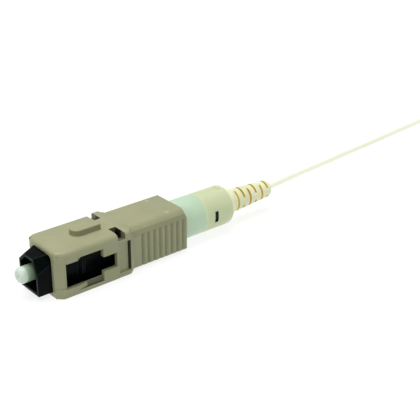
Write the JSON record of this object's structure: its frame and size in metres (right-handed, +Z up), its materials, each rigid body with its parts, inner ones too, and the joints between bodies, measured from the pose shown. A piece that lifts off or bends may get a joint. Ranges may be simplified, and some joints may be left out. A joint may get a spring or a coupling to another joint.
{
  "type": "sc fibre connector",
  "caption": "Field-fitted fibre plug: push-pull ribbed grip, black inner housing, spring-held ceramic ferrule, cam splice collar, slotted boot and a coiled thin buffered fibre.",
  "frame": {"origin": "middle of the flat underside of the grip's front block, which the connector rests on", "axes": "+X back along the ferrule axis to the boot and fibre, -X out of the ferrule's end, +Z up through the key, +Y across"},
  "size_m": [0.1253, 0.0227, 0.0083],
  "materials": {
    "grip": "satin moulded polymer, finely ribbed at the rear",
    "frame": "black moulded polymer",
    "ceramic": "polished zirconia",
    "glass_fibre": "bare glass fibre",
    "holder": "turned metal holder",
    "spring_steel": "drawn spring wire",
    "splice": "clear moulded splice half",
    "mint": "pale aqua moulded polymer",
    "mint_collar": "pale aqua moulded polymer",
    "crimp": "soft metal tube",
    "boot": "pale flexible elastomer",
    "buffer": "pale tight buffer",
    "tie": "white moulded band"
  },
  "bodies": {
    "housing": {"plug_frame": "frame", "barrel": "mint", "crimp_tube": "crimp", "boot": "boot", "buffered_fibre": "buffer", "fibre_lead": "buffer", "fibre_coil": "buffer", "coil_tie_1": "tie", "coil_tie_2": "tie"},
    "grip": {"grip": "grip"},
    "ferrule": {"ferrule": "ceramic", "stub_fibre": "glass_fibre", "ferrule_holder": "holder", "splice_bed": "splice", "splice_cap": "splice", "bare_fibre": "glass_fibre", "ferrule_spring": "spring_steel"},
    "cam_collar": {"cam_collar": "mint_collar"}
  },
  "joints": [
    {"name": "grip_slide", "type": "slide", "parent": "housing", "child": "grip", "axis": [-1, 0, 0], "range_m": [0, 0.0016]},
    {"name": "ferrule_float", "type": "slide", "parent": "housing", "child": "ferrule", "axis": [1, 0, 0], "range_m": [0, 0.0012], "stiffness_N_per_m": 3500, "springref_m": -0.0022, "deforming": ["ferrule_spring", "bare_fibre"]},
    {"name": "cam_turn", "type": "hinge", "parent": "housing", "child": "cam_collar", "pos_m": [0, 0, 0.0037], "axis": [1, 0, 0], "range_deg": [0, 90]}
  ]
}
